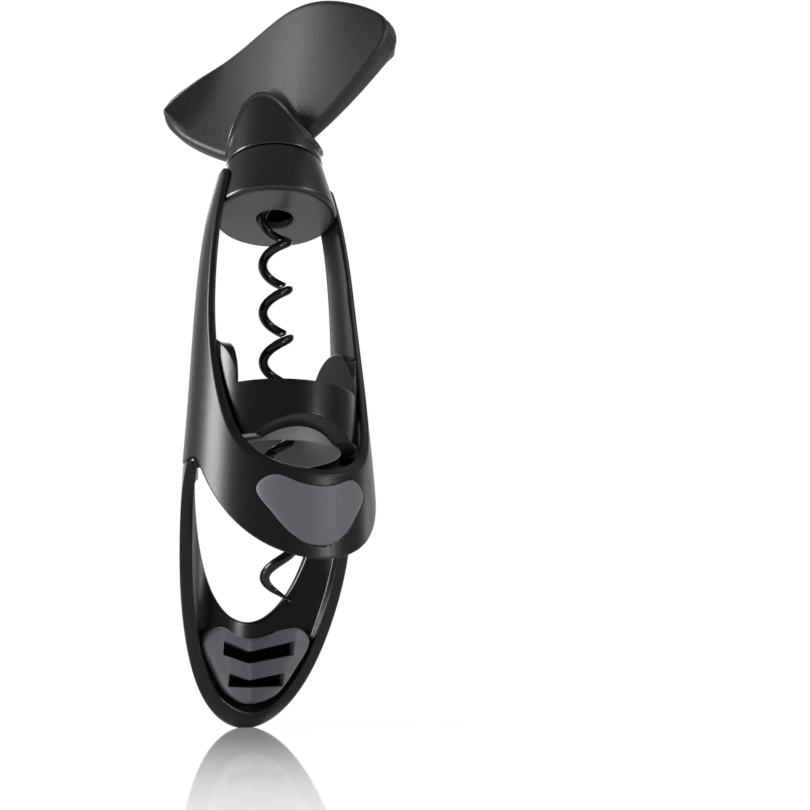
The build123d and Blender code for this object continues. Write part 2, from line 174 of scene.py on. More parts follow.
def drawn_steel(name, colour):
    """Drawn steel: fine grain and a gloss that changes along it."""
    material, tree, shader = finish_material(name, colour, steel_roughness, steel_mirror, metal=1.0)
    noise = add_grain(tree, shader, fine_grain, drawn_depth, soft_strength)
    vary_gloss(tree, shader, noise, steel_gloss)
    return material


body_black = satin_black("body_black", moulded_black, (0.30, 0.36), 0.03)
lever_black = satin_black("lever_black", moulded_black, (0.19, 0.23), 0.02)
handle_black = satin_black("handle_black", blade_black, (0.44, 0.56), 0.5, blade_grain, mirror=0.4)
hub_black = satin_black("hub_black", moulded_black, (0.27, 0.31), 0.02, mirror=0.45)
collar_black = satin_black("collar_black", deep_black, (0.22, 0.27), 0.05, edge=0.6)
core_black = satin_black("core_black", deep_black, (0.25, 0.29), 0.008, mirror=0.5)
base_grey = satin_black("base_grey", (0.05, 0.052, 0.057), (0.25, 0.31), 0.05, edge=0.3)
pad_grey = soft_grey("pad_grey", (0.1, 0.101, 0.115))
jaw_grey = soft_grey("jaw_grey", (0.115, 0.117, 0.129))
# The jaw's slots are painted black: the lever behind, plus painted shade
black_slots_with_painted_shade(jaw_grey)
seat_grey = soft_grey("seat_grey", (0.19, 0.192, 0.203), edge=0.2)
worm_coating = satin_black("worm_coating", (0.004, 0.004, 0.0044), (0.14, 0.2), 0.1, fine_grain)
pin_steel = drawn_steel("pin_steel", (0.5, 0.5, 0.51))
washer_white = soft_grey("washer_white", (0.55, 0.55, 0.53))

node_finish = {
    "frame": body_black,
    "front_insert": pad_grey,
    "hub": hub_black,
    "hub_base": base_grey,
    "collar": collar_black,
    "seat_ring": seat_grey,
    "pivot_pin_left": pin_steel,
    "pivot_pin_right": pin_steel,
    "rear_lever": lever_black,
    "rear_insert": jaw_grey,
    "thrust_washer": washer_white,
    "handle_core": core_black,
    "handle_blade": handle_black,
    "worm": worm_coating,
}
for node, material in node_finish.items():
    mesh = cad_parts[node].data
    mesh.materials.clear()
    mesh.materials.append(material)


# Surfaces: every new piece is worked out as arrays of points in millimetres

smooth_bend = 38.0
turned_bend = 50.0
merge_distance = 1e-6
sliver_length = 1e-7
typical_radius = 20.0
most_rounding = 0.48
least_width = 1e-6
outer_layer = 0.02


def smooth_curve(points, count):
    """Natural cubic spline through the points, at even steps of the chord length.

    The second slopes at the points solve the usual tridiagonal system, and are zero at both ends.
    """
    points = np.asarray(points, dtype=float)
    chord = np.linalg.norm(np.diff(points, axis=0), axis=1)
    knots = np.concatenate([[0.0], np.cumsum(chord)])
    inner = np.arange(1, len(points) - 1)
    system = np.eye(len(points))
    system[inner, inner - 1] = chord[:-1]
    system[inner, inner] = 2.0 * (chord[:-1] + chord[1:])
    system[inner, inner + 1] = chord[1:]
    pull = np.zeros_like(points)
    pull[1:-1] = 6.0 * np.diff(np.diff(points, axis=0) / chord[:, None], axis=0)
    bend = np.linalg.solve(system, pull)
    at = np.linspace(0.0, knots[-1], count)
    span = np.clip(np.searchsorted(knots, at, side="right") - 1, 0, len(points) - 2)
    step = chord[span][:, None]
    before = (knots[span + 1] - at)[:, None] / step
    after = 1.0 - before
    line = before * points[span] + after * points[span + 1]
    curl = (before**3 - before) * bend[span] + (after**3 - after) * bend[span + 1]
    return line + curl * step**2 / 6.0


def arc(centre, radius, start, end, count=40):
    """Circular arc in a plane, from one angle to another in degrees."""
    turn = np.radians(np.linspace(start, end, count))
    return np.stack([centre[0] + radius * np.cos(turn), centre[1] + radius * np.sin(turn)], axis=1)


def height_profile(points, count=600):
    """Smooth radius by height: a spline through (radius, height) pairs, read back as a function."""
    radius, height = smooth_curve(points, count).T
    order = np.argsort(height)
    return lambda z: np.interp(z, height[order], radius[order])


def ease(share):
    """Smooth step: 0 before 0, 1 after 1, with level ends."""
    share = np.clip(share, 0.0, 1.0)
    return share * share * (3.0 - 2.0 * share)


def grid_quads(rows, columns, wrap_rows, wrap_columns, start):
    """Quads of a grid of points, closed round in either direction if asked, numbered from start."""
    row = np.arange(rows if wrap_rows else rows - 1)[:, None]
    column = np.arange(columns if wrap_columns else columns - 1)[None, :]
    next_row = (row + 1) % rows
    next_column = (column + 1) % columns
    corners = [
        row * columns + column,
        next_row * columns + column,
        next_row * columns + next_column,
        row * columns + next_column,
    ]
    return start + np.stack(corners, axis=-1).reshape(-1, 4)


def make_piece(name, grids, body, material, nodes=(), sharp=smooth_bend):
    """One mesh from grids of points in millimetres: each grid is (points, rows closed, columns closed).

    Doubled points are merged, so poles and seams close, and faces are turned outwards. Edges bent by more
    than sharp, in degrees, stay crisp.
    """
    points, quads, start = [], [], 0
    for grid, wrap_rows, wrap_columns in grids:
        rows, columns = grid.shape[:2]
        points.append(grid.reshape(-1, 3) * MM)
        quads.append(grid_quads(rows, columns, wrap_rows, wrap_columns, start))
        start += rows * columns
    mesh = bpy.data.meshes.new(name)
    mesh.from_pydata(np.concatenate(points).tolist(), [], np.concatenate(quads).tolist())
    shape = bmesh.new()
    shape.from_mesh(mesh)
    bmesh.ops.remove_doubles(shape, verts=shape.verts, dist=merge_distance)
    bmesh.ops.dissolve_degenerate(shape, edges=shape.edges, dist=sliver_length)
    bmesh.ops.recalc_face_normals(shape, faces=shape.faces)
    shape.to_mesh(mesh)
    shape.free()
    mesh.polygons.foreach_set("use_smooth", np.ones(len(mesh.polygons), dtype=bool))
    mesh.set_sharp_from_angle(angle=np.radians(sharp))
    mesh.materials.append(material)
    piece = bpy.data.objects.new(name, mesh)
    bpy.context.scene.collection.objects.link(piece)
    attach(piece, body)
    if nodes:
        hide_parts(*nodes)
    return piece


def drawn_together(row):
    """A row of points drawn together to their middle."""
    return np.broadcast_to(row.mean(axis=1, keepdims=True), row.shape)


def end_caps(grid):
    """The grid with its first and last row drawn together beyond them, which closes both ends."""
    return np.concatenate([drawn_together(grid[:1]), grid, drawn_together(grid[-1:])])


def wall_section(across, corner=6, edge=3):
    """Loop round the section of a wall: outer face, rounded rim, inner face, rounded rim.

    Each point is four shares: of the strip's width, of the rounding along it, of the wall's depth, and of
    the rounding into it.
    """
    face = np.linspace(0.0, 1.0, across)
    turn = np.linspace(0.0, QUARTER_TURN, corner + 1)[1:]
    flat = np.linspace(0.0, 1.0, edge + 2)[1:-1]
    sine, cosine = np.sin(turn), np.cos(turn)
    none, full = np.zeros, np.ones
    loop = [
        (face, 1.0 - 2.0 * face, none(across), none(across)),
        (full(corner), sine - 1.0, none(corner), 1.0 - cosine),
        (full(edge), none(edge), flat, 1.0 - 2.0 * flat),
        (full(corner), sine[::-1] - 1.0, full(corner), cosine[::-1] - 1.0),
        (face[::-1], 1.0 - 2.0 * face[::-1], full(across), none(across)),
        (none(corner), 1.0 - sine, full(corner), cosine - 1.0),
        (none(edge), none(edge), 1.0 - flat, 2.0 * flat - 1.0),
        (none(corner), 1.0 - sine[::-1], none(corner), 1.0 - cosine[::-1]),
    ]
    return np.concatenate(loop, axis=1)


def lay_edge(outline, radius, facing, marks, stations):
    """Angle and height, at each station, of an edge drawn in the side view (y, height) and laid on a shell.

    The angle is measured from the front or the rear. It is the arc cosine of depth over radius, up to where
    the edge meets the middle plane. Marks tie stations to points of the outline.
    """
    depth, height = np.asarray(outline).T
    reach = facing * depth / radius(height)
    count = int(np.argmax(reach >= 1.0)) + 1 if (reach >= 1.0).any() else len(depth)
    angle = np.arccos(np.clip(reach[:count], -1.0, 1.0))
    depth, height = depth[:count], height[:count]
    steps = np.hypot(np.diff(angle) * typical_radius, np.diff(height))
    run = np.concatenate([[0.0], np.cumsum(steps)])
    shares = [share for share, point in marks]
    marked = [run[np.argmin((depth - y) ** 2 + (height - z) ** 2)] for share, (y, z) in marks]
    at = np.interp(stations, [0.0, *shares, 1.0], [0.0, *marked, run[-1]])
    return np.interp(at, run, angle), np.interp(at, run, height)


def shell_strip(edges, outer, inner, rounding, section, facing, roll=None, relief=None, bead=None):
    """Wall of a round shell between two edges, carried from one end of the strip to the other.

    Edges are (angle, height) of the first and second edge on the outer face, then on the inner face. A
    section point takes its angle and height between the four edges, and its radius between the outer and
    the inner profile at that height. Roll draws the outer face in to the inner one at the start of the
    strip, and relief is the depth of a pocket in the outer face by (x, height). A bead thickens the wall
    inwards by its first value, over its second value of width from the first edge.
    """
    columns = [(angle[:, None], height[:, None]) for angle, height in edges]
    (a_out, za_out), (b_out, zb_out), (a_in, za_in), (b_in, zb_in) = columns
    along, along_round, deep, deep_round = section[:, None, :]
    width = np.hypot((b_out - a_out) * 0.5 * (outer(za_out) + outer(zb_out)), zb_out - za_out)
    wall = 0.5 * (outer(za_out) + outer(zb_out) - inner(za_in) - inner(zb_in))
    bend = np.minimum(rounding, np.minimum(most_rounding * width, most_rounding * wall))
    share = along + along_round * bend / np.maximum(width, least_width)
    depth = deep + deep_round * bend / wall
    if roll is not None:
        depth = 1.0 - (1.0 - depth) * roll[:, None]
    outside = 1.0 - depth
    angle = (1.0 - share) * (outside * a_out + depth * a_in) + share * (outside * b_out + depth * b_in)
    height = (1.0 - share) * (outside * za_out + depth * za_in) + share * (outside * zb_out + depth * zb_in)
    radius = outside * outer(height) + depth * inner(height)
    if bead is not None:
        radius = radius - depth * bead[0] * (1.0 - ease(share * width / bead[1]))
    x = radius * np.sin(angle)
    y = facing * radius * np.cos(angle)
    if relief is not None:
        outer_face = (deep < 0.5) * (depth < outer_layer)
        scale = 1.0 - relief(x, height) * outer_face / radius
        x, y = x * scale, y * scale
    half = np.stack([x, y, height], axis=-1)
    other = half[::-1] * np.array([-1.0, 1.0, 1.0])
    return np.concatenate([half, other[1:]])


def shield_outline(half_width, top, height, notch, count=180):
    """Closed outline of a soft insert in the front view (x, height).

    It has two lobes, a dip between them and a rounded lower end. The points of the spline are shares of the
    half width, the height and the dip.
    """
    half = smooth_curve([
        (-0.42 * half_width, top - 0.55 * notch),
        (0.0, top - notch),
        (0.42 * half_width, top - 0.55 * notch),
        (0.79 * half_width, top),
        (half_width, top - notch),
        (0.83 * half_width, top - 0.48 * height),
        (0.45 * half_width, top - 0.86 * height),
        (0.0, top - height),
        (-0.45 * half_width, top - 0.86 * height),
    ], 4000)
    first = int(np.argmin(np.hypot(half[:, 0], half[:, 1] - top + notch)))
    last = int(np.argmin(np.hypot(half[:, 0], half[:, 1] - top + height)))
    pick = np.linspace(first, last, count).astype(int)
    right = half[pick]
    right[0, 0] = right[-1, 0] = 0.0
    left = right[-2:0:-1] * np.array([-1.0, 1.0])
    return np.concatenate([right, left])


def shield_share(x, z, outline, middle):
    """How far out a point lies in a shield: 0 in the middle and 1 on the outline.

    It is read along the ray from the middle, and comes with the outline's reach there.
    """
    spoke = outline - middle
    bearing = np.arctan2(spoke[:, 0], -spoke[:, 1])
    order = np.argsort(bearing)
    toward = np.arctan2(x - middle[0], middle[1] - z)
    reach = np.interp(toward, bearing[order], np.hypot(*spoke.T)[order], period=FULL_TURN)
    return np.hypot(x - middle[0], z - middle[1]) / reach, reach


# Frame: two rails that run down into the short front grip

rail_top = 69.3
frame_outer = height_profile([
    (16.08, rail_top), (18.75, 57.2), (21.6, 31.8), (23.3, 0.0), (24.4, -20.3), (24.4, -42.6),
])
frame_inner = height_profile([
    (14.38, rail_top), (17.05, 57.2), (19.7, 31.8), (21.4, 0.0), (22.5, -20.3), (22.5, -42.6),
])
pivot_height = 5.0
pad_shape = shield_outline(13.3, -20.5, 15.8, 2.3)
pad_middle = np.array([0.0, -27.6])
pocket_depth, pocket_edge = 1.1, 0.36


def pad_pocket(x, z):
    """Depth of the pocket that the front pad sits in: even in the shield, and nothing just outside it."""
    share, reach = shield_share(x, z, pad_shape, pad_middle)
    return pocket_depth * ease(0.5 - (share - 1.0) * reach / pocket_edge)


def build_frame_shell():
    """Strip from the top of one rail, down round the front grip and up the other rail.

    It lies between a front edge and a rear edge, both drawn in the side view as (y, height).
    """
    crown, crown_radius, crown_share = (0.0, 64.41), 4.89, 0.08
    crown_roll, rounding = 1.4, 0.75
    front_edge = np.concatenate([
        arc(crown, crown_radius, 90.0, 173.0),
        smooth_curve([
            (-5.4, 57.2), (-5.9, 40.0), (-6.6, 27.0), (-9.0, 11.9),
            (-13.3, -2.8), (-19.5, -15.1), (-25.4, -20.6),
        ], 3000),
    ])
    rear_edge = np.concatenate([
        arc(crown, crown_radius, 90.0, 7.0),
        smooth_curve([(5.4, 57.2), (6.1, 42.9), (6.8, 28.6), (8.2, 5.0), (8.2, -10.4)], 1200),
        arc((5.7, -10.4), 2.5, 0.0, -90.0),
        arc((-3.3, -15.7), 2.8, 90.0, 147.0),
        smooth_curve([(-6.4, -15.0), (-10.4, -21.2), (-21.1, -36.0), (-25.4, -40.7)], 2000),
    ])
    shares = (crown_share, 0.30, 0.44, 0.54)
    front_marks = list(zip(shares, [(-5.0, 63.0), (-6.6, 27.0), (-10.6, 6.0), (-13.6, -3.6)]))
    rear_marks = list(zip(shares, [(5.0, 63.0), (6.8, 28.6), (7.5, -12.2), (-3.3, -12.9)]))
    crown_stations = crown_share * (1.0 - np.cos(np.linspace(0.0, QUARTER_TURN, 30)))
    stations = np.concatenate([crown_stations, np.linspace(crown_share, 1.0, 230)[1:]])
    edges = []
    for radius in (frame_outer, frame_inner):
        edges.append(lay_edge(front_edge, radius, FRONT, front_marks, stations))
        edges.append(lay_edge(rear_edge, radius, FRONT, rear_marks, stations))
    from_top = np.clip((rail_top - edges[0][1]) / crown_roll, 0.0, 1.0)
    roll = np.sqrt(1.0 - (1.0 - from_top) ** 2)
    section = wall_section(72)
    strip = shell_strip(edges, frame_outer, frame_inner, rounding, section, FRONT, roll, pad_pocket)
    grids = [(strip, False, True)] + pivot_bosses()
    make_piece("frame_shell", grids, "body", body_black, ["frame"])


def pivot_bosses():
    """Round boss on the inner face of each rail.

    It is a profile of (radius, distance from the middle) turned about the pivot line.
    """
    profile = np.array([(0.0, 22.4), (4.6, 22.4), (4.6, 19.3), (4.5, 19.05), (4.2, 18.9), (0.0, 18.9)])
    turn = np.linspace(0.0, FULL_TURN, 49)[:-1][:, None]
    radius, distance = profile.T
    y = radius * np.cos(turn)
    z = pivot_height + radius * np.sin(turn)
    x = np.broadcast_to(distance, y.shape)
    return [(np.stack([side * x, y, z], axis=-1), True, False) for side in (-1.0, 1.0)]


def build_front_pad():
    """Soft pad in its pocket: shrunken copies of the shield laid on the round grip.

    The face stands level over the grip inside and rolls over at the rim, and the last rings go down into
    the pocket.
    """
    rim_share, roll_share, rim_lift, roll_height = 0.09, 0.08, 0.06, 0.24
    wall_inset, wall_lift = [-0.004, -0.004], [-0.25, -1.4]
    spoke = pad_shape - pad_middle
    inset = np.concatenate([np.linspace(1.0, rim_share, 22), np.linspace(roll_share, 0.0, 12)])
    from_rim = np.minimum(inset / rim_share, 1.0)
    lift = rim_lift + roll_height * np.sqrt(1.0 - (1.0 - from_rim) ** 2)
    inset = np.concatenate([inset, wall_inset])
    lift = np.concatenate([lift, wall_lift])
    flat = pad_middle + (1.0 - inset)[:, None, None] * spoke
    x, z = flat[..., 0], flat[..., 1]
    radius = frame_outer(z) + lift[:, None]
    y = -np.sqrt(radius**2 - x**2)
    skin = np.stack([x, y, z], axis=-1)
    pad = np.concatenate([skin, drawn_together(skin[-1:])])
    make_piece("front_pad", [(pad, False, True)], "body", pad_grey)


# Rear lever: a long scoop with a rounded rim and an oval window

lever_top = -13.5
lever_outer = height_profile([
    (23.8, 0.0), (23.95, lever_top), (24.2, -20.0), (24.4, -32.4), (24.3, -56.0), (24.2, -79.6),
])
lever_bore = 22.4
lip_depth, lip_top, lip_length = 2.6, -67.0, 9.0
window_top, window_length, window_half_width = -12.9, 37.1, 17.4


def plain_bore(z):
    """Inner radius of the lever's even wall, which is the same at every height."""
    return np.full_like(z, lever_bore)


def lever_inner(z):
    """Inner radius by height: the even wall, and a lip below the jaw that slopes in to the lower end."""
    return lever_bore - lip_depth * ease((lip_top - z) / lip_length)


def build_lever_shell():
    """Strip from one pillar down round the lower end to the other pillar.

    It lies between the rim, drawn in the side view as (y, height), and the edge of the window, which is the
    lower half of an ellipse in the rear view.
    """
    rounding, rim_bead = 0.8, (1.3, 4.2)
    shares = (0.10, 0.30, 0.52, 0.80)
    window_marks = (-19.5, -31.5, -41.5, -48.4)
    rim_points = [
        (-1.5, lever_top), (3.17, -20.4), (7.56, -34.6), (12.7, -50.1), (20.2, -68.6), (25.4, -79.5),
    ]
    rim = smooth_curve(rim_points, 4000)
    rim_marks = list(zip(shares, rim_points[1:-1]))
    fall = np.linspace(0.0, QUARTER_TURN, 3000)
    window_z = window_top - window_length * np.sin(fall)
    window_x = window_half_width * np.cos(fall)
    keep = window_z <= lever_top
    stations = np.linspace(0.0, 1.0, 190)

    def window_edge(radius):
        """The window's edge on a shell of that radius."""
        depth = np.sqrt(radius(window_z[keep]) ** 2 - window_x[keep] ** 2)
        outline = np.stack([depth, window_z[keep]], axis=1)
        points = [tuple(outline[np.argmin(np.abs(outline[:, 1] - height))]) for height in window_marks]
        return lay_edge(outline, radius, REAR, list(zip(shares, points)), stations)

    edges = []
    for radius in (lever_outer, plain_bore):
        edges.append(lay_edge(rim, radius, REAR, rim_marks, stations))
        edges.append(window_edge(radius))
    strip = shell_strip(edges, lever_outer, lever_inner, rounding, wall_section(90), REAR, bead=rim_bead)
    grids = [(end_caps(strip), False, True)] + lever_neck()
    make_piece("lever_shell", grids, "bottle_grip", lever_black, ["rear_lever"])


def lever_neck():
    """Half ring that joins the pillars to the collar: sections of (radius, height) turned about the axis.

    A plain band goes round the rear half. Over each pillar a second section reaches down to the shoulder,
    and keeps clear of the window.
    """
    turn = np.radians(np.linspace(-93.5, 93.5, 121))[:, None]
    pillar_start = np.radians(50.0)
    band = np.array([(16.9, -9.5), (21.4, -9.5), (21.4, -11.5), (16.9, -11.5)])
    pillar = np.array([
        (16.9, -9.6), (21.3, -9.6), (21.4, -13.4), (23.0, -13.7), (22.3, -15.5), (21.0, -15.0),
    ])
    right, left = turn[turn[:, 0] > pillar_start], turn[turn[:, 0] < -pillar_start]
    grids = []
    for section, sweep in ((band, turn), (pillar, right), (pillar, left)):
        radius, height = section.T
        if section is pillar:
            radius = np.maximum(radius, window_half_width / np.abs(np.sin(sweep)))
        x = radius * np.sin(sweep)
        y = radius * np.cos(sweep)
        z = np.broadcast_to(height, x.shape)
        grids.append((end_caps(np.stack([x, y, z], axis=-1)), False, True))
    return grids


# Jaw in the rear lever: a smooth shield with a ribbed hollow

jaw_shape = shield_outline(14.0, -52.0, 18.6, 2.3)
jaw_middle = np.array([0.0, -60.4])
jaw_back = 22.95
# Each slot: half its width, then the height on the middle line and the rise to the end, of its two edges
slot_sizes = ((9.4, -57.8, 2.4, -60.6, 2.0), (7.3, -64.9, 1.7, -66.5, 0.3))
slot_edge = 0.3


def jaw_slots(x, z):
    """How far a point lies in one of the two slots, from 0 to 1: chevrons that dip to the middle line."""
    point_round = 0.2
    across = np.sqrt(x * x + point_round)
    inside = np.zeros_like(x)
    for half, upper, upper_rise, lower, lower_rise in slot_sizes:
        share = across / half
        below_upper = ease((upper + upper_rise * share - z) / slot_edge + 0.5)
        above_lower = ease((z - lower - lower_rise * share) / slot_edge + 0.5)
        inside = np.maximum(inside, below_upper * above_lower * ease((half - across) / slot_edge + 0.5))
    return inside


def jaw_face(x, z):
    """Depth of the jaw's face: a V with its valley on the middle line, a rolled border and the slots.

    The flanks come forward to two crests that draw together downwards, and the face falls back beyond them.
    """
    valley, valley_round, flank_slope = 20.9, 0.4, 0.85
    crest_half, crest_taper, crest_round, fall_back = 9.7, 0.3, 0.5, 1.02
    crest_top, crest_length = -55.0, 12.0
    border_width, border_drop = 1.4, 1.2
    pocket_radius, slot_deep = 22.2, 3.0
    across = np.sqrt(x * x + valley_round)
    share, reach = shield_share(x, z, jaw_shape, jaw_middle)
    crest = crest_half - crest_taper * np.clip(crest_top - z, 0.0, crest_length)
    beyond = 0.5 * (across - crest + np.sqrt((across - crest) ** 2 + crest_round))
    face = valley - flank_slope * across + fall_back * beyond
    border = np.clip((1.0 - share) * reach / border_width, 0.0, 1.0)
    face = face + border_drop * (1.0 - np.sqrt(1.0 - (1.0 - border) ** 2))
    slot_floor = np.minimum(np.sqrt(pocket_radius**2 - x**2), face + slot_deep)
    return face + jaw_slots(x, z) * np.maximum(slot_floor - face, 0.0)


def build_rear_jaw():
    """Copies of the shield drawn in towards its middle carry the face, closer together at the border.

    The last rings run back to the wall of the pocket.
    """
    inner_share, border_share, border_power = 0.93, 0.07, 1.5
    spoke = jaw_shape - jaw_middle
    border = 1.0 - border_share * np.linspace(1.0, 0.0, 14)[1:] ** border_power
    share = np.concatenate([np.linspace(0.0, inner_share, 120), border])
    flat = jaw_middle + share[:, None, None] * spoke
    x, z = flat[..., 0], flat[..., 1]
    skin = np.stack([x, jaw_face(x, z), z], axis=-1)
    wall = skin[-1:].copy()
    wall[..., 1] = np.sqrt(jaw_back**2 - wall[..., 0] ** 2)
    back = np.broadcast_to([jaw_middle[0], jaw_back, jaw_middle[1]], wall.shape)
    grids = [(np.concatenate([skin, wall, back]), False, True)]
    jaw = make_piece("rear_jaw", grids, "bottle_grip", jaw_grey, ["rear_insert"])
    points = np.empty(3 * len(jaw.data.vertices))
    jaw.data.vertices.foreach_get("co", points)
    x, y, z = points.reshape(-1, 3).T / MM
    depth = jaw.data.attributes.new("slot_depth", "FLOAT", "POINT")
    depth.data.foreach_set("value", jaw_slots(x, z))


# Worm: coated wire wound about the axis, thinned to a point

coil_radius, coil_pitch, wire_radius = 3.47, 14.0, 1.25
tip_height, point_height, coil_top, closed_height = -46.7, -40.82, 59.3, 65.0
shank_heights = [70.0, 84.0]


def build_worm():
    """Tube round a right-handed helix: the angle grows by one turn per pitch of height.

    The wire thins below the point's height to a blunt tip, and closes in on the axis inside the hub.
    """
    start_turn, thinning, thinning_power = np.radians(158.0), 1.17, 1.15
    height = np.concatenate([
        np.linspace(tip_height, point_height, 70),
        np.linspace(point_height, coil_top, 700)[1:],
        np.linspace(coil_top, closed_height, 40)[1:],
        shank_heights,
    ])
    turn = start_turn + FULL_TURN * (height - point_height) / coil_pitch
    closing = np.clip((height - coil_top) / (closed_height - coil_top), 0.0, 1.0)
    coil = coil_radius * (1.0 - closing) ** 2 * (1.0 + 2.0 * closing)
    to_tip = np.clip((point_height - height) / (point_height - tip_height), 0.0, 1.0)
    wire = wire_radius - thinning * to_tip**thinning_power
    centre = np.stack([coil * np.cos(turn), coil * np.sin(turn), height], axis=1)
    along = np.gradient(centre, axis=0)
    along /= np.linalg.norm(along, axis=1, keepdims=True)
    outward = np.stack([np.cos(turn), np.sin(turn), np.zeros_like(turn)], axis=1)
    outward -= along * (along * outward).sum(axis=1, keepdims=True)
    outward /= np.linalg.norm(outward, axis=1, keepdims=True)
    sideways = np.cross(along, outward)
    ring = np.linspace(0.0, FULL_TURN, 25)[:-1][:, None]
    spoke = np.cos(ring) * outward[:, None] + np.sin(ring) * sideways[:, None]
    tube = centre[:, None] + wire[:, None, None] * spoke
    grids = [(end_caps(tube), False, True)]
    make_piece("worm_wire", grids, "handle", worm_coating, ["worm"])


# Hub: a tapered ring with rounded edges

def turned(profile, count=192):
    """Surface of revolution: pairs of (radius, height) turned about the worm's axis."""
    turn = np.linspace(0.0, FULL_TURN, count + 1)[:-1][:, None]
    radius, height = np.asarray(profile).T
    x = radius * np.cos(turn)
    y = radius * np.sin(turn)
    return np.stack([x, y, np.broadcast_to(height, x.shape)], axis=-1)


def build_hub():
    """A turned profile, whose outer face is a cone between two rounded edges.

    Inside are the recess for the washer, the spigot bore and the seat of the base.
    """
    profile = np.concatenate([
        [(15.72, 57.35), (15.8, 57.2)],
        arc((15.95, 58.3), 1.1, -90.0, 10.0, 12),
        arc((13.2, 71.8), 0.6, 10.0, 90.0, 8),
        [(12.2, 72.4), (12.2, 71.4), (8.08, 71.4), (8.08, 59.4), (15.72, 59.4)],
    ])
    grids = [(turned(profile), True, True)]
    make_piece("hub_shell", grids, "body", hub_black, ["hub"], sharp=turned_bend)


# Seat sleeve: the thin grey lining of the collar below the seat

def build_seat_sleeve():
    """A thin ring against the collar's bore, from just under the seat down to a rounded lower edge."""
    lower_edge = arc((15.97, -9.9), 0.22, 180.0, 360.0, 9)
    profile = np.concatenate([[(15.75, -0.1)], lower_edge, [(16.19, -0.1)]])
    make_piece("seat_sleeve", [(turned(profile), True, True)], "bottle_grip", seat_grey)


# Handle: an arched core that turns on the hub, and a blade whose two wings lean opposite ways

blade_turn = np.radians(-53.3)
arch_turn = np.radians(11.0)
core_base, core_radius, core_draft = 72.8, 13.7, 0.12
arch_half = 13.97
arch_line = smooth_curve([
    (-arch_half, 3.54), (-9.4, 8.5), (-4.6, 15.4), (0.0, 17.7), (4.6, 15.4), (9.4, 8.5), (arch_half, 3.54),
], 1200)


def arch_rise(across):
    """Height of the core's arch above its base, by the distance from its middle line."""
    return np.interp(across, arch_line[:, 0], arch_line[:, 1])


def rotate_about_axis(x, y, z, turn):
    """Points (x, y, z) turned about the worm's axis."""
    cosine, sine = np.cos(turn), np.sin(turn)
    return np.stack([x * cosine - y * sine, x * sine + y * cosine, z], axis=-1)


def build_core():
    """Cone cut by the arch, and the spigot below it.

    Rows climb the cone to the arch line, go round an overhanging edge along it and run level to the middle
    plane. On the cone the line's height answers height = arch(radius at that height x sine of the angle),
    found by repeated substitution.
    """
    columns, climb_rows, substitutions = 360, 27, 12
    foot_heights, foot_stand_out = [0.0, 0.15, 0.35], [-0.35, -0.1, 0.0]
    cone_short = 1.8
    edge_drop = np.array([1.4, 1.36, 0.76, 0.7, 0.45, 0.22, 0.07, 0.0])[:, None]
    edge_out = np.array([0.0, 0.03, 0.67, 0.71, 0.78, 0.66, 0.42, 0.1])[:, None]
    spigot_profile = [(0.0, 73.0), (8.0, 73.0), (8.0, 65.4), (7.6, 65.0), (0.0, 65.0)]
    bearing = np.linspace(0.0, FULL_TURN, columns + 1)[:-1]
    rise = arch_rise(core_radius * np.sin(bearing))
    for _ in range(substitutions):
        rise = arch_rise((core_radius - core_draft * rise) * np.sin(bearing))
    foot = np.array(foot_heights)[:, None] * np.ones(columns)
    climb = np.linspace(0.0, 1.0, climb_rows + 1)[1:, None]
    height = np.concatenate([foot, foot_heights[-1] + climb * (rise - cone_short), rise - edge_drop])
    stand_out = np.concatenate([np.array(foot_stand_out)[:, None], np.zeros((climb_rows, 1)), edge_out])
    radius = core_radius - core_draft * height + stand_out
    x = radius * np.sin(bearing)
    y = radius * np.cos(bearing)
    pole = np.zeros((1, columns))
    inward = np.array([0.5, 0.0])[:, None]
    x = np.concatenate([pole, x, np.broadcast_to(x[-1], (2, columns))])
    y = np.concatenate([pole, y, inward * y[-1]])
    height = np.concatenate([pole, height, np.broadcast_to(rise, (2, columns))])
    core = rotate_about_axis(x, y, core_base + height, blade_turn + arch_turn)
    grids = [(core, False, True), (turned(spigot_profile, 96), True, False)]
    make_piece("core_arch", grids, "handle", core_black, ["handle_core"], sharp=turned_bend)


def blade_ridge(share, below_top, above_low, to_tip):
    """Ridge on the upper outer part of a wing: the face climbs from the top edge to a slanting crease.

    It sinks again below the crease, which leaves the top edge at a share of the span and falls away from it
    as slope x + growth x squared towards the tip. The ridge dies out at the low edge and at the tip.
    """
    crease_start, slope, growth, least_crease = 0.43, 12.5, 9.0, 0.05
    crest_round, sink_length, steepness = 0.004, 18.0, 0.5
    fade_in, fade_low, fade_tip = 0.3, 5.0, 3.0
    beyond = np.maximum(share - crease_start, 0.0)
    crease = slope * beyond + growth * beyond**2
    climb = below_top / np.maximum(crease, least_crease)
    sink = 1.0 - ease((below_top - crease) / sink_length)
    ridge = 0.5 * (climb + sink - np.sqrt((climb - sink) ** 2 + crest_round))
    rise = steepness * crease * ease(beyond / fade_in) * np.maximum(ridge, 0.0)
    return rise * ease(above_low / fade_low) * ease(to_tip / fade_tip)


def core_fillet(span, across, height):
    """Hollow fillet from a face of the blade down to the core's arch.

    It is a quarter ellipse, as deep as the arch stands out from the face and almost as high.
    """
    arch_margin, height_share, least_height = 1.3, 0.95, 0.01
    arch_x = span * np.cos(arch_turn) + across * np.sin(arch_turn)
    arch_y = across * np.cos(arch_turn) - span * np.sin(arch_turn)
    rise = arch_rise(np.clip(arch_x, -arch_half, arch_half))
    edge = np.sqrt(np.maximum((core_radius - core_draft * rise) ** 2 - arch_x**2, 0.0))
    gap = np.maximum(edge - np.abs(arch_y) - arch_margin, 0.0)
    above = height - core_base - rise
    bend = np.clip(1.0 - above / np.maximum(height_share * gap, least_height), 0.0, 1.0)
    return gap * (1.0 - np.sqrt(1.0 - bend**2))


